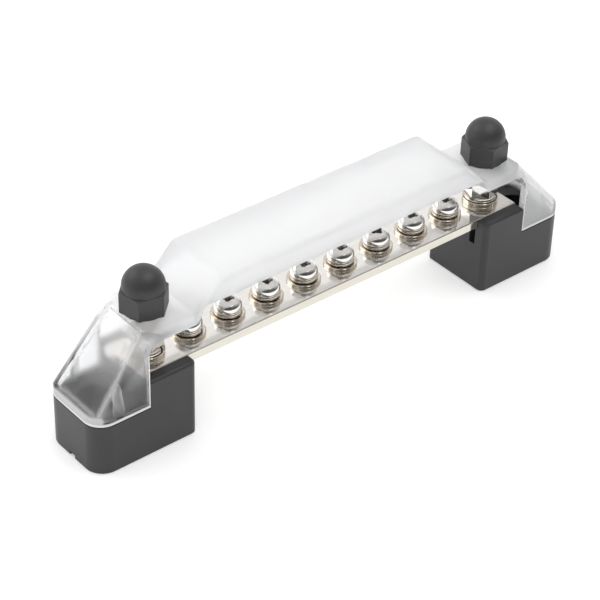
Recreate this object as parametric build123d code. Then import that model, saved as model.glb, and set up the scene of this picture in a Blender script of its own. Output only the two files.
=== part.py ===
from build123d import *
from math import atan2, cos, pi, sin, sqrt
import os

# A two-stud power distribution block: eight terminal screws on one flat bar,
# two moulded end blocks, and a clear cover held down by two cap nuts.
# Millimetres, +Z up, +X along the bar, origin at the centre of the footprint.

# Overall sizes
overall_length = 153.1
body_depth = 21.2
outer_corner_radius = 5.0
inner_corner_radius = 1.6

# Moulded end blocks
block_length = 29.3
ledge_length = 15.7
ledge_height = 14.1
block_height = 21.45
block_top_round = 0.9
ledge_bevel = 0.4
mount_hole_from_end = 8.0
mount_hole_diameter = 5.2
mount_counterbore_diameter = 9.5
mount_counterbore_depth = 5.0
face_pocket_width = 2.0
face_pocket_height = 5.3
face_pocket_depth = 6.0
face_pocket_from_side = 4.0
end_nick_width = 2.0
end_nick_height = 1.2
end_nick_depth = 0.6

# Bar
bar_width = 14.5
bar_thickness = 2.6
bar_top = 21.35
bar_edge_round = 0.3
bar_side_clearance = 0.1
terminal_pitch = 12.0
terminal_end_room = 4.8
stud_from_end = 21.8

# Terminal screws, M4
terminal_thread_diameter = 4.0
terminal_shank_length = 8.0
terminal_head_diameter = 7.1
terminal_head_height = 3.1
terminal_head_crown = 1.7
terminal_recess_width = 1.1
terminal_recess_depth = 1.6
terminal_recess_length = 3.6
terminal_flat_washer_diameter = 8.7
terminal_flat_washer_thickness = 0.8
terminal_spring_washer_diameter = 7.2
terminal_spring_washer_thickness = 1.0
terminal_washer_hole_diameter = 4.5
spring_washer_gap = 0.7
thread_clearance = 0.05

# Studs and their nuts, M5
stud_thread_diameter = 5.0
stud_clearance = 0.3
stud_above_cover = 7.4
stud_point_chamfer = 0.6
stud_head_across_flats = 8.0
stud_head_height = 3.5
stud_pocket_depth = 4.9
stud_pocket_clearance = 0.15
stud_head_turn = 30.0
stud_nut_across_flats = 8.0
stud_nut_height = 4.0
stud_flat_washer_diameter = 9.6
stud_flat_washer_thickness = 1.2
stud_spring_washer_diameter = 9.2
stud_spring_washer_thickness = 1.5
stud_washer_hole_diameter = 5.5
stud_nut_turn = 15.0

# Cap nuts
cap_hex_corner_radius = 6.2
cap_hex_height = 5.7
cap_washer_face_height = 0.4
cap_washer_face_radius = 5.2
cap_dome_radius = 5.3
cap_bore_end_clearance = 0.6
cap_turn_left = 43.3
cap_turn_right = 7.9
nut_chamfer_angle = 30.0
cap_nut_height = 11.9

# Clear cover
cover_wall = 2.0
cover_lip_top = 16.8
cover_slope_run = 16.0
cover_flat_height = 34.0
cover_flat_end = 29.2
cover_roof_start = 37.4
cover_roof_height = 42.2
cover_edge_round = 1.8
cover_inner_round = 0.4
cover_bend_round = 2.6
window_from_end = 15.6
window_corner_radius = 4.5
window_below_flat = 1.9
window_step_from_end = 29.6
window_step_run = 2.6
window_step_height = 4.05
cover_rib_from_end = 7.7
cover_rib_radius = 1.2
cover_rib_top = 22.5
cover_stud_hole_clearance = 0.4

half_length = overall_length / 2
half_depth = body_depth / 2
bar_length = overall_length - 2 * ledge_length
bar_bottom = bar_top - bar_thickness
stud_x = half_length - stud_from_end
mount_x = half_length - mount_hole_from_end
stud_top = cover_flat_height + stud_above_cover
window_low_edge = cover_flat_height - window_below_flat
window_high_edge = window_low_edge + window_step_height
overall_height = cover_flat_height + cap_nut_height
# As many terminals as the open length between the end blocks takes
open_length = overall_length - 2 * block_length
terminal_count = int((open_length - 2 * terminal_end_room) / terminal_pitch) + 1


def upright(radius, bottom, top, x=0.0, y=0.0):
    """Upright cylinder between two heights."""
    middle = (bottom + top) / 2
    return Pos(x, y, middle) * Cylinder(radius, top - bottom)


def slab(x_low, x_high, y_low, y_high, z_low, z_high):
    """Box between limits."""
    centre = Pos((x_low + x_high) / 2, (y_low + y_high) / 2, (z_low + z_high) / 2)
    return centre * Box(x_high - x_low, y_high - y_low, z_high - z_low)


def ring(outer_diameter, inner_diameter, bottom, top):
    """Flat ring on the Z axis."""
    return upright(outer_diameter / 2, bottom, top) - upright(inner_diameter / 2, bottom - 1, top + 1)


def hexagon(across_flats, bottom, top, turn=0.0):
    """Upright hexagonal prism."""
    outline = Plane.XY.offset(bottom) * (Rot(0, 0, turn) * RegularPolygon(across_flats / sqrt(3), 6))
    return extrude(outline, amount=top - bottom)


def bevel_cone(corner_radius, flat_radius, bottom, top):
    """Turned body that takes the corners off the top of a hexagon."""
    drop = (corner_radius - flat_radius) * sin(nut_chamfer_angle * pi / 180) / cos(nut_chamfer_angle * pi / 180)
    outline = Polyline(
        (0, bottom),
        (corner_radius, bottom),
        (corner_radius, top - drop),
        (flat_radius, top),
        (0, top),
        close=True,
    )
    return revolve(Plane.XZ * make_face(outline), Axis.Z)


def line_crossing(first, second):
    """Crossing of two lines, each given as point and direction."""
    (px, pz), (ux, uz) = first
    (qx, qz), (vx, vz) = second
    cross = ux * vz - uz * vx
    step = ((qx - px) * vz - (qz - pz) * vx) / cross
    return (px + step * ux, pz + step * uz)


# End block, drawn for the left end with its outer face at x = -half_length
def end_block():
    outer_x = -half_length
    step_x = outer_x + ledge_length
    inner_x = outer_x + block_length
    body = slab(outer_x, inner_x, -half_depth, half_depth, 0, block_height)
    outer_corners = body.edges().filter_by(Axis.Z).group_by(Axis.X)[0]
    body = fillet(outer_corners, outer_corner_radius)
    inner_corners = body.edges().filter_by(Axis.Z).group_by(Axis.X)[-1]
    body = fillet(inner_corners, inner_corner_radius)
    body -= slab(outer_x - 1, step_x, -half_depth - 1, half_depth + 1, ledge_height, block_height + 1)
    tall_rim = body.faces().sort_by(Axis.Z)[-1].edges()
    body = fillet(tall_rim, block_top_round)
    ledge_face = body.faces().filter_by(Plane.XY).filter_by(
        lambda face: abs(face.center().Z - ledge_height) < 0.01
    )[0]
    ledge_rim = ledge_face.edges().filter_by(lambda edge: edge.center().X < step_x - 0.1)
    body = chamfer(ledge_rim, ledge_bevel)
    # Channel for the bar
    channel_half = bar_width / 2 + bar_side_clearance
    body -= slab(step_x - 1, inner_x + 1, -channel_half, channel_half, bar_bottom, block_height + 1)
    # Stud hole with its hexagonal pocket underneath
    hole_x = outer_x + stud_from_end
    body -= upright(stud_thread_diameter / 2 + stud_clearance, -1, block_height, hole_x)
    pocket_across = stud_head_across_flats + 2 * stud_pocket_clearance
    pocket = hexagon(pocket_across, -1, stud_pocket_depth, stud_head_turn)
    body -= Pos(hole_x, 0, 0) * pocket
    # Mounting hole with a flat counterbore
    mount = outer_x + mount_hole_from_end
    body -= upright(mount_hole_diameter / 2, -1, ledge_height + 1, mount)
    bore_floor = ledge_height - mount_counterbore_depth
    body -= upright(mount_counterbore_diameter / 2, bore_floor, ledge_height + 1, mount)
    # Two small pockets under the bar in the inner face
    for side in (-1, 1):
        near = side * (half_depth - face_pocket_from_side)
        far = side * (half_depth - face_pocket_from_side - face_pocket_width)
        low = bar_bottom - face_pocket_height
        body -= slab(
            inner_x - face_pocket_depth, inner_x + 1, min(near, far), max(near, far), low, bar_bottom + 0.1
        )
    # Nick at the foot of the outer face
    half_nick = end_nick_width / 2
    body -= slab(outer_x - 1, outer_x + end_nick_depth, -half_nick, half_nick, -1, end_nick_height)
    return body


def terminal_positions():
    first = -terminal_pitch * (terminal_count - 1) / 2
    return [first + index * terminal_pitch for index in range(terminal_count)]


# Flat bar with tapped terminal holes and plain stud holes
def flat_bar():
    half = bar_length / 2
    bar = slab(-half, half, -bar_width / 2, bar_width / 2, bar_bottom, bar_top)
    bar = fillet(bar.edges().filter_by(Axis.X), bar_edge_round)
    for x in terminal_positions():
        bar -= upright(terminal_thread_diameter / 2 + thread_clearance, bar_bottom - 1, bar_top + 1, x)
    for x in (-stud_x, stud_x):
        bar -= upright(stud_thread_diameter / 2 + stud_clearance, bar_bottom - 1, bar_top + 1, x)
    return bar


def split_washer(outer_diameter, inner_diameter, bottom, thickness):
    """Spring washer, a ring with one narrow gap."""
    body = ring(outer_diameter, inner_diameter, bottom, bottom + thickness)
    half_gap = spring_washer_gap / 2
    gap = slab(0, outer_diameter, -half_gap, half_gap, bottom - 1, bottom + thickness + 1)
    return body - Rot(0, 0, -35) * gap


# Terminal screw with a crowned pan head and a cross recess
def terminal_screw():
    seat = bar_top + terminal_flat_washer_thickness + terminal_spring_washer_thickness
    top = seat + terminal_head_height
    head_radius = terminal_head_diameter / 2
    crown = terminal_head_crown
    outline = Polyline(
        (0, seat),
        (head_radius, seat),
        (head_radius, top - crown),
        (head_radius - 0.25 * crown, top - 0.4 * crown),
        (head_radius - 0.9 * crown, top),
        (0, top),
        close=True,
    )
    head = revolve(Plane.XZ * make_face(outline), Axis.Z)
    body = head + upright(terminal_thread_diameter / 2, seat - terminal_shank_length, seat)
    half_width = terminal_recess_width / 2
    half_cross = terminal_recess_length / 2
    floor = top - terminal_recess_depth
    body -= slab(-half_cross, half_cross, -half_width, half_width, floor, top + 1)
    body -= slab(-half_width, half_width, -half_cross, half_cross, floor, top + 1)
    return body


# Stud: a hexagon-head bolt standing up from the pocket under the block
def stud():
    head_bottom = stud_pocket_depth - stud_head_height
    head = hexagon(stud_head_across_flats, head_bottom, stud_pocket_depth, stud_head_turn)
    shank = upright(stud_thread_diameter / 2, stud_pocket_depth - 0.5, stud_top)
    shank = chamfer(shank.edges().sort_by(Axis.Z)[-1], stud_point_chamfer)
    return head + shank


def stud_nut():
    bottom = bar_top + stud_flat_washer_thickness + stud_spring_washer_thickness
    top = bottom + stud_nut_height
    corner = stud_nut_across_flats / sqrt(3)
    body = hexagon(stud_nut_across_flats, bottom, top, stud_nut_turn)
    body = body & bevel_cone(corner, stud_nut_across_flats / 2, bottom, top)
    return body - upright(stud_thread_diameter / 2 + thread_clearance, bottom - 1, top + 1)


# Domed cap nut with a blind thread
def cap_nut(turn):
    seat = cover_flat_height
    bottom = seat + cap_washer_face_height
    hex_top = bottom + cap_hex_height
    across_flats = cap_hex_corner_radius * sqrt(3)
    body = hexagon(across_flats, bottom, hex_top, turn)
    body = body & bevel_cone(cap_hex_corner_radius, across_flats / 2, bottom, hex_top)
    body += upright(cap_washer_face_radius, seat, bottom + 0.5)
    dome_centre = overall_height - cap_dome_radius
    dome_outline = make_face(
        Line((0, bottom), (cap_dome_radius, bottom))
        + Line((cap_dome_radius, bottom), (cap_dome_radius, dome_centre))
        + CenterArc((0, dome_centre), cap_dome_radius, 0, 90)
        + Line((0, overall_height), (0, bottom))
    )
    body += revolve(Plane.XZ * dome_outline, Axis.Z)
    bore_top = stud_top + cap_bore_end_clearance
    return body - upright(stud_thread_diameter / 2 + thread_clearance, seat - 1, bore_top)


def rounded_chain(points, radii, start, finish):
    """Closed XZ face from start through rounded corners to finish."""
    outline = Polyline(start, *points, finish, close=True)
    face = make_face(outline)
    for (x, z), radius in zip(points, radii):
        corner = face.vertices().sort_by_distance(Vector(x, z, 0))[0]
        face = fillet(corner, radius)
    return face


def cover_bends(inset):
    """Corners of the left half of the cover outline, moved inwards by inset."""
    foot = (-half_length, cover_lip_top)
    crest = (-half_length + cover_slope_run, cover_flat_height)
    dip = (-half_length + cover_flat_end, cover_flat_height)
    brow = (-half_length + cover_roof_start, cover_roof_height)
    slope_angle = atan2(crest[1] - foot[1], crest[0] - foot[0])
    rise_angle = atan2(brow[1] - dip[1], brow[0] - dip[0])
    lip = ((-half_length + inset, 0), (0, 1))
    slope_start = (foot[0] + inset * sin(slope_angle), foot[1] - inset * cos(slope_angle))
    slope = (slope_start, (cos(slope_angle), sin(slope_angle)))
    flat = ((0, cover_flat_height - inset), (1, 0))
    rise_start = (dip[0] + inset * sin(rise_angle), dip[1] - inset * cos(rise_angle))
    rise = (rise_start, (cos(rise_angle), sin(rise_angle)))
    roof = ((0, cover_roof_height - inset), (1, 0))
    lines = (lip, slope, flat, rise, roof)
    return [line_crossing(lines[index], lines[index + 1]) for index in range(4)]


def hip_prism(inset, base):
    """Long body under the left end slope, with rounded upper edges."""
    foot = (-half_length, cover_lip_top)
    crest = (-half_length + cover_slope_run, cover_flat_height)
    slope_angle = atan2(crest[1] - foot[1], crest[0] - foot[0])
    half_width = half_depth - inset
    radius = outer_corner_radius - inset
    reach = 260.0
    body = slab(-reach, reach, -half_width, half_width, -reach, -inset)
    top_rim = body.edges().filter_by(Axis.X).group_by(Axis.Z)[-1]
    body = fillet(top_rim, radius)
    return Pos(foot[0], 0, foot[1]) * Rot(0, -slope_angle * 180 / pi, 0) * body


def cover_body(inset, base):
    """Solid cover shape moved inwards by inset, standing on base."""
    left = cover_bends(inset)
    right = [(-x, z) for x, z in reversed(left)]
    bend = cover_bend_round
    tight = max(bend - inset, cover_inner_round)
    loose = bend + inset if inset else bend
    radii = [tight, tight, loose, tight, tight, loose, tight, tight]
    face = rounded_chain(left + right, radii, (left[0][0], base), (-left[0][0], base))
    half_width = half_depth - inset
    body = Pos(0, half_width, 0) * extrude(Plane.XZ * face, amount=2 * half_width)
    rims = body.edges().filter_by(
        lambda edge: abs(abs(edge.center().Y) - half_width) < 0.01 and edge.center().Z > cover_lip_top + 1
    )
    body = fillet(rims, max(cover_edge_round - inset, cover_inner_round))
    plan = RectangleRounded(
        2 * (half_length - inset), 2 * half_width, outer_corner_radius - inset
    )
    body = body & extrude(Plane.XY.offset(base - 1) * plan, amount=60)
    prism = hip_prism(inset, base)
    return body & prism & (Rot(0, 0, 180) * prism)


def window_cutters():
    """Bodies that open the front and back walls between the end skirts."""
    side = -half_length + window_from_end
    step = -half_length + window_step_from_end
    points = [
        (side, window_low_edge),
        (step, window_low_edge),
        (step + window_step_run, window_high_edge),
        (-step - window_step_run, window_high_edge),
        (-step, window_low_edge),
        (-side, window_low_edge),
    ]
    radii = [window_corner_radius, 1.0, 1.0, 1.0, 1.0, window_corner_radius]
    face = rounded_chain(points, radii, (side, ledge_height - 1), (-side, ledge_height - 1))
    reach = cover_wall + cover_inner_round
    cutter = extrude(Plane.XZ * face, amount=reach + 1)
    return [Pos(0, half_depth + 1, 0) * cutter, Pos(0, reach - half_depth, 0) * cutter]


def skirt_rib(x, side):
    """Half-round rib with an arched top inside an end skirt."""
    face_y = side * (half_depth - cover_wall)
    arch_centre = cover_rib_top - cover_rib_radius
    rib = upright(cover_rib_radius, ledge_height, arch_centre, x, face_y)
    rib += Pos(x, face_y, arch_centre) * Sphere(cover_rib_radius)
    keep = slab(
        x - 3, x + 3, min(face_y - side * 3, face_y + side * 0.5), max(face_y - side * 3, face_y + side * 0.5),
        ledge_height, cover_rib_top + 1,
    )
    return rib & keep


def clear_cover():
    shell = cover_body(0.0, ledge_height) - cover_body(cover_wall, ledge_height - 2)
    for cutter in window_cutters():
        shell -= cutter
    for x in (-half_length + cover_rib_from_end, half_length - cover_rib_from_end):
        for side in (-1, 1):
            shell += skirt_rib(x, side)
    stud_hole = stud_thread_diameter / 2 + cover_stud_hole_clearance
    for x in (-stud_x, stud_x):
        shell -= upright(stud_hole, cover_flat_height - 2 * cover_wall, cover_flat_height + cover_wall, x)
    return shell


def export(body, name):
    body.label = name
    export_step(body, f"parts/{name}.step")


os.makedirs("parts", exist_ok=True)

block = end_block()
export(block, "left_base_block")
export(Rot(0, 0, 180) * block, "right_base_block")
export(flat_bar(), "bus_bar")

washer_seat = bar_top + terminal_flat_washer_thickness
for number, x in enumerate(terminal_positions(), start=1):
    spot = Pos(x, 0, 0)
    flat_washer = ring(terminal_flat_washer_diameter, terminal_washer_hole_diameter, bar_top, washer_seat)
    spring = split_washer(
        terminal_spring_washer_diameter, terminal_washer_hole_diameter, washer_seat,
        terminal_spring_washer_thickness,
    )
    export(spot * flat_washer, f"terminal_flat_washer_{number}")
    export(spot * spring, f"terminal_spring_washer_{number}")
    slot_turn = 25.0 * number
    export(spot * Rot(0, 0, slot_turn) * terminal_screw(), f"terminal_screw_{number}")

stud_seat = bar_top + stud_flat_washer_thickness
for side_name, x, turn in (("left", -stud_x, cap_turn_left), ("right", stud_x, cap_turn_right)):
    spot = Pos(x, 0, 0)
    flat_washer = ring(stud_flat_washer_diameter, stud_washer_hole_diameter, bar_top, stud_seat)
    spring = split_washer(
        stud_spring_washer_diameter, stud_washer_hole_diameter, stud_seat, stud_spring_washer_thickness
    )
    export(spot * stud(), f"{side_name}_stud")
    export(spot * flat_washer, f"{side_name}_stud_flat_washer")
    export(spot * spring, f"{side_name}_stud_spring_washer")
    export(spot * stud_nut(), f"{side_name}_stud_nut")
    export(spot * cap_nut(turn), f"{side_name}_cap_nut")

export(clear_cover(), "cover")
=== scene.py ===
import math

import bpy
from mathutils import Matrix, Vector


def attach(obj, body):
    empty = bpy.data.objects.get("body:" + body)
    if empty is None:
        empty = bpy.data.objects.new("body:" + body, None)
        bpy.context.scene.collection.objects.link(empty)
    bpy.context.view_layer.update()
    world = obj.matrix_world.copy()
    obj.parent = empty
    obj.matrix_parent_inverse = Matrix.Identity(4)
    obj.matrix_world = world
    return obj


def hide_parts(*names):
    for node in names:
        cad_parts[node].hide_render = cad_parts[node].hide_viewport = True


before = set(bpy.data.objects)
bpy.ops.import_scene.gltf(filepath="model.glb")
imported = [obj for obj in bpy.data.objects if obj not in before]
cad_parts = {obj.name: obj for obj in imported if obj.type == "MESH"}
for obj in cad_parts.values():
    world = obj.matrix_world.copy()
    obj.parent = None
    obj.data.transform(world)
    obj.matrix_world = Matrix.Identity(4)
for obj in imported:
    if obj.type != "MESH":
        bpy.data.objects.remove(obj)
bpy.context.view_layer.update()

# Power distribution block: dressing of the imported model.
# The pieces' sizes are in millimetres, and MM turns them into metres.
# Places in materials, lamps and the table are in metres, as in Blender.
MM = 0.001

# Places, heights and thicknesses of the turned pieces
BAR_TOP = 21.35
TERMINALS = [-42.0 + 12.0 * index for index in range(8)]
FLAT_WASHER = 0.8
SPRING_WASHER = 1.0
HEAD_SEAT = BAR_TOP + FLAT_WASHER + SPRING_WASHER
HEAD_HEIGHT = 3.1
SHANK_LENGTH = 8.0
STUD_X = 54.75
STUD_FLAT_WASHER = 1.2
STUD_SPRING_WASHER = 1.5
STUD_HEAD_BOTTOM = 1.4
STUD_HEAD_TOP = 4.9
STUD_TOP = 41.4

# Threads and spring washers as they are drawn
TERMINAL_PITCH = 0.7
STUD_PITCH = 0.8
THREAD_STEPS = 20
SPRING_RISE = 0.3
SPRING_SPLIT = 0.7
SPRING_AIR = 0.01
SPRING_CORNER = 0.16
SPRING_STEPS = 64

# Cross recess of the terminal screws, and how far each one is turned, as in the photograph
RECESS_SPAN = 4.1
RECESS_WIDTH = 1.25
RECESS_DEPTH = 2.0
RECESS_TAPER = 0.60
RECESS_TURNS = (52.0, 49.0, 60.0, 44.0, 50.0, 8.0, 33.0, 41.0)

# Edges sharper than these angles are eased, and edges flatter than these shade smooth
SHARP_MOULDED = 32.0
SHARP_TURNED = 40.0
SMOOTH_MOULDED = 35.0
SMOOTH_TURNED = 40.0

# Between these two values of its noise a material goes from one tone or gloss to the other
NOISE_LOW = 0.3
NOISE_HIGH = 0.7

# Lens of the photograph, fitted in its own pixels
PHOTO_PIXELS = 600.0
FOCAL_PIXELS = 2019.23
SENSOR_WIDTH = 36.0


# Camera at the photograph's viewpoint
def place_camera():
    right = Vector((0.772559, -0.634452, 0.024960))
    down = Vector((-0.357625, -0.467281, -0.808550))
    ahead = Vector((0.524650, 0.615726, -0.587898))
    eye = Vector((-273.662, -313.042, 314.152)) * MM
    turn = Matrix((right, -down, -ahead)).transposed().to_4x4()
    data = bpy.data.cameras.new("photo_camera")
    data.sensor_fit = "HORIZONTAL"
    data.sensor_width = SENSOR_WIDTH
    data.lens = FOCAL_PIXELS / PHOTO_PIXELS * SENSOR_WIDTH
    data.clip_start = 0.01
    data.clip_end = 20.0
    camera = bpy.data.objects.new("photo_camera", data)
    camera.matrix_world = Matrix.Translation(eye) @ turn
    bpy.context.scene.collection.objects.link(camera)
    bpy.context.scene.camera = camera


place_camera()
bpy.context.scene.view_settings.view_transform = "Standard"


# Node helpers for materials
def fresh_material(name):
    material = bpy.data.materials.new(name)
    material.use_nodes = True
    tree = material.node_tree
    return material, tree, tree.nodes["Principled BSDF"]


def own_place(tree):
    """X, Y and Z of a point on the piece, in metres."""
    where = tree.nodes.new("ShaderNodeTexCoord")
    parts = tree.nodes.new("ShaderNodeSeparateXYZ")
    tree.links.new(where.outputs["Object"], parts.inputs["Vector"])
    return parts.outputs["X"], parts.outputs["Y"], parts.outputs["Z"]


def reckon(tree, operation, *values, clamp=False):
    """Math node over one to three values, each a socket or a plain number."""
    node = tree.nodes.new("ShaderNodeMath")
    node.operation = operation
    node.use_clamp = clamp
    for slot, value in enumerate(values):
        if isinstance(value, float):
            node.inputs[slot].default_value = value
        else:
            tree.links.new(value, node.inputs[slot])
    return node.outputs[0]


def object_noise(tree, scale, detail, stretch=(1.0, 1.0, 1.0)):
    where = tree.nodes.new("ShaderNodeTexCoord")
    mapping = tree.nodes.new("ShaderNodeMapping")
    mapping.inputs["Scale"].default_value = stretch
    noise = tree.nodes.new("ShaderNodeTexNoise")
    noise.inputs["Scale"].default_value = scale
    noise.inputs["Detail"].default_value = detail
    tree.links.new(where.outputs["Object"], mapping.inputs["Vector"])
    tree.links.new(mapping.outputs["Vector"], noise.inputs["Vector"])
    return noise.outputs["Fac"]


def span(tree, source, low, high, start=NOISE_LOW, end=NOISE_HIGH):
    """From low to high while the source goes from start to end."""
    ranger = tree.nodes.new("ShaderNodeMapRange")
    ranger.inputs["From Min"].default_value = start
    ranger.inputs["From Max"].default_value = end
    ranger.inputs["To Min"].default_value = low
    ranger.inputs["To Max"].default_value = high
    tree.links.new(source, ranger.inputs["Value"])
    return ranger.outputs["Result"]


def two_tone(tree, source, dark, light):
    ramp = tree.nodes.new("ShaderNodeValToRGB")
    stops = ramp.color_ramp.elements
    stops[0].position = NOISE_LOW
    stops[0].color = (*dark, 1.0)
    stops[1].position = NOISE_HIGH
    stops[1].color = (*light, 1.0)
    tree.links.new(source, ramp.inputs["Fac"])
    return ramp.outputs["Color"]


def relief(tree, shader, source, depth, strength):
    bump = tree.nodes.new("ShaderNodeBump")
    bump.inputs["Distance"].default_value = depth
    bump.inputs["Strength"].default_value = strength
    tree.links.new(source, bump.inputs["Height"])
    tree.links.new(bump.outputs["Normal"], shader.inputs["Normal"])


# Satin black moulding of the end blocks and cap nuts
def moulded_black(name, dark, light, rough_low, rough_high):
    material, tree, shader = fresh_material(name)
    broad = object_noise(tree, 90.0, 2.0)
    grain = object_noise(tree, 2600.0, 3.0)
    tree.links.new(two_tone(tree, broad, dark, light), shader.inputs["Base Color"])
    tree.links.new(span(tree, broad, rough_low, rough_high), shader.inputs["Roughness"])
    relief(tree, shader, grain, 0.00003, 0.5)
    shader.inputs["IOR"].default_value = 1.5
    return material


# Bright plate with faint marks, which a stretch draws out along the piece
def plated(name, dark, light, rough_low, rough_high, scale, depth, stretch=(1.0, 1.0, 1.0)):
    material, tree, shader = fresh_material(name)
    shader.inputs["Metallic"].default_value = 1.0
    marks = object_noise(tree, scale, 4.0, stretch)
    tree.links.new(two_tone(tree, marks, dark, light), shader.inputs["Base Color"])
    tree.links.new(span(tree, marks, rough_low, rough_high), shader.inputs["Roughness"])
    relief(tree, shader, marks, depth, 0.6)
    return material


# Bar: bright top, a painted dark reflection as a line along its upper edges, and duller sheared sides
def bar_finish():
    plain_top = (1.0, 1.0, 1.0, 1.0)
    painted_reflection_line = (0.45, 0.43, 0.40, 1.0)
    sheared_side = (0.86, 0.85, 0.80, 1.0)
    edge_start = 0.00690
    half_width = 0.00725

    material = plated(
        "bar_nickel_plate", (0.83, 0.80, 0.76), (0.88, 0.85, 0.81), 0.08, 0.13,
        700.0, 0.0000012, stretch=(0.12, 1.0, 1.0),
    )
    tree = material.node_tree
    shader = tree.nodes["Principled BSDF"]
    shader.inputs["Metallic"].default_value = 0.95
    plate = shader.inputs["Base Color"].links[0].from_socket
    _, y, _ = own_place(tree)
    across = reckon(tree, "ABSOLUTE", y)
    edge = tree.nodes.new("ShaderNodeValToRGB")
    stops = edge.color_ramp.elements
    stops[0].color = plain_top
    stops[1].color = sheared_side
    # Painted dark reflection: a darker line just inside each upper edge of the bar
    for position in (0.30, 0.62):
        stops.new(position).color = painted_reflection_line
    tree.links.new(span(tree, across, 0.0, 1.0, edge_start, half_width), edge.inputs["Fac"])
    tint = tree.nodes.new("ShaderNodeMix")
    tint.data_type = "RGBA"
    tint.blend_type = "MULTIPLY"
    tint.inputs["Factor"].default_value = 1.0
    tree.links.new(plate, tint.inputs["A"])
    tree.links.new(edge.outputs["Color"], tint.inputs["B"])
    tree.links.new(tint.outputs["Result"], shader.inputs["Base Color"])
    return material


# Clear cover: nearly clear low on its end slopes, hazy over the terminals, milky in its foot.
# Each zone says how milky the moulding is there, from 0 to 1, and the milkiest one counts; the hips, the
# ribs and the right end are made milky as painted highlight and painted glare.
def clear_moulding():
    material, tree, shader = fresh_material("clear_cover_plastic")
    x, y, z = own_place(tree)
    along = reckon(tree, "ABSOLUTE", x)
    across = reckon(tree, "ABSOLUTE", y)

    def combined(operation, first, *others):
        for other in others:
            first = reckon(tree, operation, first, other)
        return first

    def above(source, start, end, most=1.0):
        return span(tree, source, 0.0, most, start, end)

    def below(source, start, end, most=1.0):
        return span(tree, source, most, 0.0, start, end)

    middle = below(along, 0.050, 0.063)
    over_terminals = reckon(tree, "MULTIPLY", middle, 0.45)
    # Towards the flats the slopes turn milky
    upper_slopes = above(z, 0.021, 0.028, 0.26)
    # The right end is made milkier than the left one, as the photograph shows: painted glare from the light
    # on that side
    right_end_painted_glare = above(x, 0.058, 0.062, 0.38)

    foot = below(z, 0.0147, 0.0150, 0.90)
    end_lip = combined(
        "MULTIPLY", above(along, 0.0735, 0.0743), below(z, 0.0164, 0.0172), 0.60
    )
    window_edge = combined(
        "MULTIPLY", above(along, 0.0606, 0.0609), below(along, 0.0611, 0.0614),
        below(z, 0.027, 0.030),
    )

    # Along the rounded hips between an end slope and the side walls the moulding is made milky in a narrow
    # streak: a painted highlight
    outward = combined(
        "ADD", reckon(tree, "MULTIPLY", along, 0.732), reckon(tree, "MULTIPLY", z, 0.475)
    )
    off_ridge = reckon(tree, "ABSOLUTE", combined("SUBTRACT", outward, across, 0.05357))
    hip_painted_highlight = combined(
        "MULTIPLY", below(off_ridge, 0.0001, 0.0018, 0.42), below(z, 0.0315, 0.0335)
    )
    hip_painted_highlight_fringe = below(off_ridge, 0.0012, 0.0042, 0.08)

    # The small ribs inside the end skirts are made milky too: a painted highlight on each rib
    rib_painted_highlight = combined(
        "MULTIPLY", below(z, 0.0224, 0.0227), below(across, 0.0083, 0.0085),
        above(across, 0.0070, 0.0073), reckon(tree, "COMPARE", along, 0.06885, 0.0013), 0.68,
    )

    milky = combined(
        "MAXIMUM", over_terminals, upper_slopes, right_end_painted_glare, foot, end_lip, window_edge,
        hip_painted_highlight, hip_painted_highlight_fringe, rib_painted_highlight,
    )
    clear = span(tree, milky, 0.995, 0.25, 0.0, 1.0)
    tree.links.new(clear, shader.inputs["Transmission Weight"])
    broad = object_noise(tree, 240.0, 2.0)
    rough = reckon(
        tree, "ADD", span(tree, middle, 0.18, 0.50, 0.0, 1.0), span(tree, broad, 0.0, 0.06)
    )
    tree.links.new(rough, shader.inputs["Roughness"])
    relief(tree, shader, broad, 0.00002, 0.10)
    shader.inputs["Base Color"].default_value = (0.975, 0.978, 0.985, 1.0)
    shader.inputs["IOR"].default_value = 1.45
    shader.inputs["Coat Weight"].default_value = 0.2
    shader.inputs["Coat Roughness"].default_value = 0.08
    shader.inputs["Coat IOR"].default_value = 1.45
    return material


block_black = moulded_black(
    "moulded_block_black", (0.019, 0.019, 0.020), (0.026, 0.026, 0.027), 0.35, 0.45
)
cap_black = moulded_black(
    "cap_nut_black", (0.022, 0.022, 0.022), (0.031, 0.030, 0.030), 0.38, 0.48
)
bar_plate = bar_finish()
screw_plate = plated(
    "screw_nickel_plate", (0.76, 0.74, 0.71), (0.86, 0.84, 0.81), 0.07, 0.14, 1100.0, 0.000003
)
washer_plate = plated(
    "washer_nickel_plate", (0.60, 0.53, 0.44), (0.74, 0.68, 0.60), 0.07, 0.14, 1300.0, 0.000003
)
spring_plate = plated(
    "spring_washer_plate", (0.62, 0.57, 0.50), (0.76, 0.71, 0.64), 0.08, 0.15, 1300.0, 0.000003
)
# Darker metal for the cross recesses of the screws: painted shade inside them
recess_painted_shade = plated(
    "screw_recess_painted_shade", (0.30, 0.28, 0.26), (0.42, 0.39, 0.36), 0.08, 0.16, 1600.0, 0.000004
)
cover_clear = clear_moulding()


# Mesh helpers
def deselect():
    if bpy.context.object and bpy.context.object.mode != "OBJECT":
        bpy.ops.object.mode_set(mode="OBJECT")
    bpy.ops.object.select_all(action="DESELECT")


def only(piece):
    deselect()
    piece.select_set(True)
    bpy.context.view_layer.objects.active = piece


def edit_all(piece):
    only(piece)
    bpy.ops.object.mode_set(mode="EDIT")
    bpy.ops.mesh.select_all(action="SELECT")


def finish_surface(piece, material, angle):
    """Gives a piece its smooth shading, and its finish unless it already has two."""
    only(piece)
    if len(piece.data.materials) < 2:
        piece.data.materials.clear()
        piece.data.materials.append(material)
    bpy.ops.object.shade_smooth_by_angle(angle=math.radians(angle))


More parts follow.
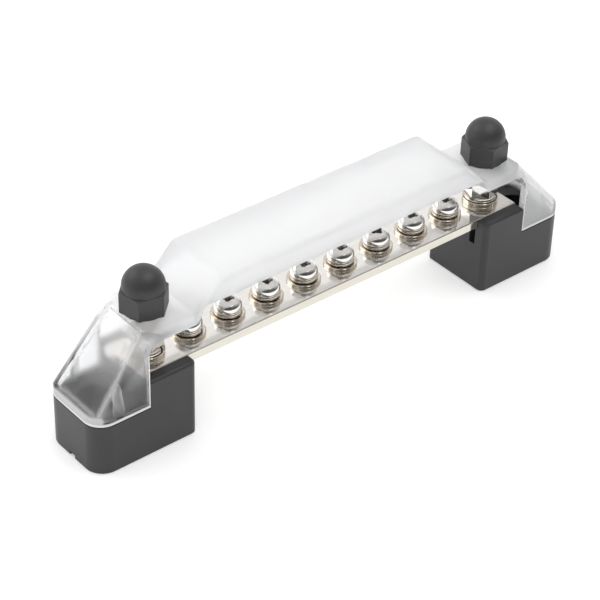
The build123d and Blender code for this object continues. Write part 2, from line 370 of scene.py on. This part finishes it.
def use_modifier(piece, kind, **settings):
    only(piece)
    modifier = piece.modifiers.new(kind.lower(), kind)
    for key, value in settings.items():
        setattr(modifier, key, value)
    bpy.ops.object.modifier_apply(modifier=modifier.name)


def ease_edges(piece, width, corner):
    use_modifier(
        piece, "BEVEL", width=width * MM, segments=2, limit_method="ANGLE",
        angle_limit=math.radians(corner),
    )


def combine(piece, other, operation, **settings):
    use_modifier(piece, "BOOLEAN", operation=operation, solver="EXACT", object=other, **settings)
    bpy.data.objects.remove(other)


def softened_copy(node, name, material, width):
    """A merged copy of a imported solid, with its sharp edges eased."""
    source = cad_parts[node]
    piece = bpy.data.objects.new(name, source.data.copy())
    bpy.context.scene.collection.objects.link(piece)
    edit_all(piece)
    bpy.ops.mesh.remove_doubles(threshold=0.000002)
    bpy.ops.mesh.dissolve_limited(angle_limit=math.radians(0.6))
    bpy.ops.object.mode_set(mode="OBJECT")
    ease_edges(piece, width, SHARP_MOULDED)
    finish_surface(piece, material, SMOOTH_MOULDED)
    use_modifier(piece, "WEIGHTED_NORMAL", keep_sharp=True, weight=100)
    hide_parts(node)
    return piece


def turned(name, profile, segments, closed=False):
    """Turned shape: a circle extruded and scaled from one profile point to the next."""
    deselect()
    radius, height = profile[0]
    bpy.ops.mesh.primitive_circle_add(
        vertices=segments, radius=radius * MM, fill_type="NOTHING" if closed else "NGON",
        location=(0.0, 0.0, height * MM),
    )
    piece = bpy.context.object
    piece.name = name
    bpy.ops.object.transform_apply(location=True, rotation=True, scale=True)
    edit_all(piece)
    for (old_radius, old_height), (new_radius, new_height) in zip(profile, profile[1:]):
        bpy.ops.mesh.extrude_region_move(
            TRANSFORM_OT_translate={"value": (0.0, 0.0, (new_height - old_height) * MM)}
        )
        ratio = new_radius / old_radius
        bpy.ops.transform.resize(
            value=(ratio, ratio, 1.0), center_override=(0.0, 0.0, new_height * MM)
        )
    bpy.ops.mesh.select_all(action="SELECT")
    bpy.ops.mesh.remove_doubles(threshold=0.000001)
    bpy.ops.mesh.normals_make_consistent(inside=False)
    bpy.ops.object.mode_set(mode="OBJECT")
    return piece


def own_copy(piece, name, x, turn=0.0):
    """A copy with a mesh of its own, turned about Z and moved along the bar."""
    copy = piece.copy()
    copy.data = piece.data.copy()
    copy.name = name
    bpy.context.scene.collection.objects.link(copy)
    copy.data.transform(
        Matrix.Translation((x * MM, 0.0, 0.0)) @ Matrix.Rotation(math.radians(turn), 4, "Z")
    )
    return copy


def join_into(piece, others):
    deselect()
    for other in others:
        other.select_set(True)
    piece.select_set(True)
    bpy.context.view_layer.objects.active = piece
    bpy.ops.object.join()
    return piece


def carry_round(piece, angle, rise, steps, sides):
    """Carries a small section round Z while it rises, and closes its two ends."""
    use_modifier(
        piece, "SCREW", angle=angle, screw_offset=rise * MM, iterations=1, steps=steps,
        render_steps=steps, use_merge_vertices=False, use_normal_calculate=True,
    )
    edit_all(piece)
    bpy.ops.mesh.fill_holes(sides=sides)
    bpy.ops.mesh.normals_make_consistent(inside=False)
    bpy.ops.object.mode_set(mode="OBJECT")


def helix_ridge(name, radius, depth, pitch, bottom, turns):
    """Thread ridge: a small three-cornered section carried up a screw line."""
    deselect()
    bpy.ops.mesh.primitive_circle_add(vertices=3, radius=depth * 1.15 * MM, fill_type="NOTHING")
    piece = bpy.context.object
    piece.name = name
    piece.data.transform(Matrix.Rotation(math.radians(90.0), 4, "X"))
    piece.data.transform(Matrix.Rotation(math.radians(90.0), 4, "Y"))
    piece.data.transform(Matrix.Translation((radius * MM, 0.0, bottom * MM)))
    carry_round(piece, math.tau * turns, pitch * turns, THREAD_STEPS * turns, 4)
    return piece


def block_cutter(size, height, turn):
    deselect()
    bpy.ops.mesh.primitive_cube_add(size=1.0)
    cutter = bpy.context.object
    cutter.data.transform(Matrix.Diagonal((size[0] * MM, size[1] * MM, size[2] * MM, 1.0)))
    cutter.data.transform(
        Matrix.Translation((0.0, 0.0, height * MM)) @ Matrix.Rotation(math.radians(turn), 4, "Z")
    )
    return cutter


# Cross recess: two crossed wings, narrower at their foot, and a square point between them
def recess_cutter(top):
    wings = []
    for turn in (0.0, 90.0):
        wing = block_cutter((RECESS_SPAN, RECESS_WIDTH, 2.0 * RECESS_DEPTH), top, turn)
        for vertex in wing.data.vertices:
            if vertex.co.z < top * MM:
                vertex.co.x *= RECESS_TAPER
                vertex.co.y *= RECESS_TAPER
        # The recess walls take the darker metal: painted shade
        wing.data.materials.append(recess_painted_shade)
        wings.append(wing)
    cutter, second_wing = wings
    combine(cutter, second_wing, "UNION")
    deselect()
    bpy.ops.mesh.primitive_cone_add(
        vertices=4, radius1=0.6 * MM, radius2=1.9 * MM, depth=2.2 * MM,
        location=(0.0, 0.0, (top - 0.95) * MM),
    )
    point = bpy.context.object
    point.data.materials.append(recess_painted_shade)
    bpy.ops.object.transform_apply(location=True, rotation=True, scale=True)
    combine(cutter, point, "UNION")
    return cutter


# Pan-head terminal screw, modelled once at the origin
def make_terminal_screw():
    seat = HEAD_SEAT
    top = seat + HEAD_HEIGHT
    tip = seat - SHANK_LENGTH
    head = turned("terminal_screw", [
        (2.0, seat + 0.02), (3.2, seat), (3.42, seat + 0.06), (3.53, seat + 0.22),
        (3.55, seat + 0.5), (3.54, seat + 1.1), (3.47, seat + 1.5), (3.32, seat + 1.9),
        (3.06, seat + 2.3), (2.68, seat + 2.65), (2.2, seat + 2.9), (1.6, seat + 3.05),
        (0.9, top), (0.02, top),
    ], segments=56)
    head.data.materials.append(screw_plate)
    combine(head, recess_cutter(top), "DIFFERENCE", material_mode="TRANSFER")
    ease_edges(head, 0.06, SHARP_TURNED)
    shank = turned("shank", [
        (0.02, tip), (1.3, tip), (1.72, tip + 0.4), (1.72, seat + 0.3), (0.02, seat + 0.3),
    ], segments=32)
    ridge = helix_ridge("ridge", 1.76, 0.2, TERMINAL_PITCH, tip + 0.4, 10)
    return join_into(head, [shank, ridge])


# Plain flat washer with eased rims
def make_flat_washer(name, outer, inner, bottom, thickness, ease):
    top = bottom + thickness
    return turned(name, [
        (inner, bottom + ease), (inner, top - ease), (inner + ease, top), (outer - ease, top),
        (outer, top - ease), (outer, bottom + ease), (outer - ease, bottom),
        (inner + ease, bottom), (inner, bottom + ease),
    ], segments=64, closed=True)


# Split spring washer: one section carried round a little less than a full turn, rising slightly
def make_spring_washer(name, outer, inner, bottom, thickness):
    middle = (outer + inner) / 2
    body = thickness - 2.0 * SPRING_AIR - SPRING_RISE
    height = bottom + SPRING_AIR + body / 2
    deselect()
    bpy.ops.mesh.primitive_plane_add(size=1.0)
    piece = bpy.context.object
    piece.name = name
    piece.data.transform(Matrix.Diagonal(((outer - inner) * MM, body * MM, 1.0, 1.0)))
    piece.data.transform(Matrix.Rotation(math.radians(90.0), 4, "X"))
    piece.data.transform(Matrix.Translation((middle * MM, 0.0, height * MM)))
    edit_all(piece)
    bpy.ops.mesh.bevel(offset=SPRING_CORNER * MM, segments=2, affect="VERTICES")
    bpy.ops.mesh.delete(type="ONLY_FACE")
    bpy.ops.object.mode_set(mode="OBJECT")
    carry_round(piece, math.tau - SPRING_SPLIT / middle, SPRING_RISE, SPRING_STEPS, 16)
    return piece


def place_terminals():
    screw = make_terminal_screw()
    flat = make_flat_washer("terminal_flat_washer", 4.35, 2.25, BAR_TOP, FLAT_WASHER, 0.12)
    spring = make_spring_washer(
        "terminal_spring_washer", 3.6, 2.25, BAR_TOP + FLAT_WASHER, SPRING_WASHER
    )
    for number, (x, turn) in enumerate(zip(TERMINALS, RECESS_TURNS), start=1):
        split = 300.0 + 9.0 * number
        for source, name, material, body, spin in (
            (screw, "terminal_screw", screw_plate, "terminal_screw", turn),
            (flat, "terminal_flat_washer", washer_plate, "terminal_washers", 0.0),
            (spring, "terminal_spring_washer", spring_plate, "terminal_washers", split),
        ):
            piece = own_copy(source, f"{name}_detail_{number}", x, spin)
            finish_surface(piece, material, SMOOTH_TURNED)
            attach(piece, f"{body}_{number}")
            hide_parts(f"{name}_{number}")
    for source in (screw, flat, spring):
        bpy.data.objects.remove(source)


def place_studs():
    flat = make_flat_washer("stud_flat", 4.8, 2.75, BAR_TOP, STUD_FLAT_WASHER, 0.15)
    spring = make_spring_washer(
        "stud_spring", 4.6, 2.75, BAR_TOP + STUD_FLAT_WASHER, STUD_SPRING_WASHER
    )
    foot = STUD_HEAD_TOP - 0.5
    shank = turned("stud_shank", [
        (0.02, foot), (2.14, foot), (2.14, STUD_TOP - 0.5), (1.7, STUD_TOP), (0.02, STUD_TOP),
    ], segments=40)
    ridge = helix_ridge("stud_ridge", 2.2, 0.25, STUD_PITCH, 5.6, 43)
    shank = join_into(shank, [ridge])
    for side, x in (("left", -STUD_X), ("right", STUD_X)):
        piece = own_copy(flat, f"{side}_stud_flat_washer_detail", x)
        finish_surface(piece, washer_plate, SMOOTH_TURNED)
        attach(piece, "block_assembly")
        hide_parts(f"{side}_stud_flat_washer")
        piece = own_copy(spring, f"{side}_stud_spring_washer_detail", x, 300.0)
        finish_surface(piece, spring_plate, SMOOTH_TURNED)
        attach(piece, f"{side}_stud_washer")
        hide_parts(f"{side}_stud_spring_washer")
        head = turned("stud_head", [
            (0.02, STUD_HEAD_BOTTOM), (3.9, STUD_HEAD_BOTTOM), (4.6, STUD_HEAD_BOTTOM + 0.4),
            (4.6, STUD_HEAD_TOP), (0.02, STUD_HEAD_TOP),
        ], segments=6)
        head.data.transform(Matrix.Translation((x * MM, 0.0, 0.0)))
        piece = own_copy(shank, f"{side}_stud_detail", x)
        piece = join_into(piece, [head])
        finish_surface(piece, screw_plate, SMOOTH_TURNED)
        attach(piece, "block_assembly")
        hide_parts(f"{side}_stud")
        piece = softened_copy(f"{side}_stud_nut", f"{side}_stud_nut_detail", screw_plate, 0.18)
        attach(piece, f"{side}_stud_nut")
        piece = softened_copy(f"{side}_cap_nut", f"{side}_cap_nut_detail", cap_black, 0.14)
        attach(piece, f"{side}_cap_nut")
    for source in (flat, spring, shank):
        bpy.data.objects.remove(source)


place_terminals()
place_studs()
for side in ("left", "right"):
    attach(softened_copy(f"{side}_base_block", f"{side}_block_detail", block_black, 0.18), "block_assembly")
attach(softened_copy("bus_bar", "bar_detail", bar_plate, 0.12), "block_assembly")
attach(softened_copy("cover", "cover_detail", cover_clear, 0.16), "block_assembly")

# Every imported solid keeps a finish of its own, also where a detailed piece stands for it
finishes = {
    "base_block": block_black, "cap_nut": cap_black, "cover": cover_clear, "bus_bar": bar_plate,
    "spring_washer": spring_plate, "flat_washer": washer_plate,
}
for name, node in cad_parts.items():
    chosen = screw_plate
    for word, material in finishes.items():
        if word in name:
            chosen = material
    node.data.materials.clear()
    node.data.materials.append(chosen)


# White table, which glows a little for the camera, for mirrors and through clear pieces
TABLE_WIDTH = 6.0
TABLE_TOP = -0.0002
TABLE_GLOW = 0.24


def make_table():
    deselect()
    bpy.ops.mesh.primitive_plane_add(size=TABLE_WIDTH)
    table = bpy.context.object
    table.name = "table"
    table.data.transform(Matrix.Translation((0.0, 0.0, TABLE_TOP)))
    material, tree, shader = fresh_material("white_table")
    shader.inputs["Base Color"].default_value = (0.86, 0.86, 0.86, 1.0)
    shader.inputs["Roughness"].default_value = 0.6
    shader.inputs["Specular IOR Level"].default_value = 0.2
    shader.inputs["Emission Color"].default_value = (1.0, 1.0, 1.0, 1.0)
    path = tree.nodes.new("ShaderNodeLightPath")
    seen = path.outputs["Is Camera Ray"]
    for ray in ("Is Glossy Ray", "Is Transmission Ray"):
        seen = reckon(tree, "ADD", seen, path.outputs[ray], clamp=True)
    glow = reckon(tree, "MULTIPLY", seen, TABLE_GLOW)
    tree.links.new(glow, shader.inputs["Emission Strength"])
    table.data.materials.append(material)


def soft_lamp(name, place, aim, size, watts, mirrored=True):
    data = bpy.data.lights.new(name, "AREA")
    data.shape = "RECTANGLE"
    data.size, data.size_y = size
    data.energy = watts
    lamp = bpy.data.objects.new(name, data)
    lamp.location = place
    lamp.rotation_euler = (Vector(aim) - Vector(place)).to_track_quat("-Z", "Y").to_euler()
    lamp.visible_glossy = mirrored
    lamp.visible_transmission = False
    bpy.context.scene.collection.objects.link(lamp)


# Studio room: bright behind and above, dark in front, and a little dimmer towards the camera
BRIGHT_SIDE = (0.12, 0.80, 0.55)
DIM_SIDE = (-0.525, -0.616, 0.588)


def make_world():
    world = bpy.data.worlds.new("studio_room")
    bpy.context.scene.world = world
    world.use_nodes = True
    tree = world.node_tree
    back = tree.nodes["Background"]
    where = tree.nodes.new("ShaderNodeTexCoord")

    def facing(direction, low, high, start, end):
        toward = tree.nodes.new("ShaderNodeVectorMath")
        toward.operation = "DOT_PRODUCT"
        toward.inputs[1].default_value = direction
        tree.links.new(where.outputs["Generated"], toward.inputs[0])
        return span(tree, toward.outputs["Value"], low, high, start, end)

    room = reckon(
        tree, "MULTIPLY", facing(BRIGHT_SIDE, 0.11, 1.0, -0.38, 0.38),
        facing(DIM_SIDE, 1.0, 0.70, 0.78, 0.93),
    )
    path = tree.nodes.new("ShaderNodeLightPath")
    mixed = tree.nodes.new("ShaderNodeMix")
    mixed.data_type = "RGBA"
    tree.links.new(path.outputs["Is Camera Ray"], mixed.inputs["Factor"])
    tree.links.new(room, mixed.inputs["A"])
    mixed.inputs["B"].default_value = (1.0, 1.0, 1.0, 1.0)
    tree.links.new(mixed.outputs["Result"], back.inputs["Color"])


make_table()
make_world()
soft_lamp("top_softbox", (0.15, -0.25, 0.75), (0.0, 0.0, 0.0), (0.7, 0.5), 1.8)
soft_lamp("back_softbox", (-0.35, 0.55, 0.55), (0.0, 0.0, 0.02), (0.6, 0.5), 1.2)
soft_lamp("front_fill", (-0.35, -0.60, 0.30), (0.0, 0.0, 0.02), (0.8, 0.5), 2.5, mirrored=False)
